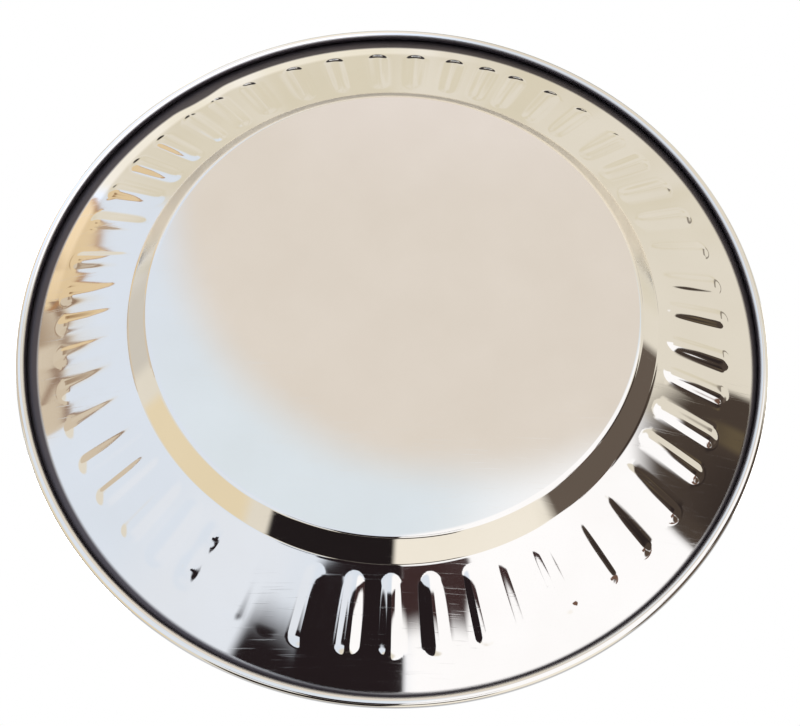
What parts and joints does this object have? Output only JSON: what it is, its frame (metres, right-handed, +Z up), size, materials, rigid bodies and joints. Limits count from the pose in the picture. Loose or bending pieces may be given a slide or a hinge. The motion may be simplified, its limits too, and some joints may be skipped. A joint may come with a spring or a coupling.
{
  "type": "thali plate",
  "caption": "Round polished steel thali plate with a flat base, a low step, a fluted sloping wall and a curled rim.",
  "frame": {"origin": "centre of the underside of the flat base, on the surface the plate stands on", "axes": "+Z up, along the plate's axis, with the eating side facing +Z; +X and +Y lie in the table's plane"},
  "size_m": [0.3, 0.3, 0.0298],
  "materials": {
    "plate_steel": "mirror polished stainless steel",
    "wire_steel": "plain drawn wire"
  },
  "bodies": {
    "root": {"pressed_plate": "plate_steel", "rim_wire": "wire_steel"}
  },
  "joints": []
}
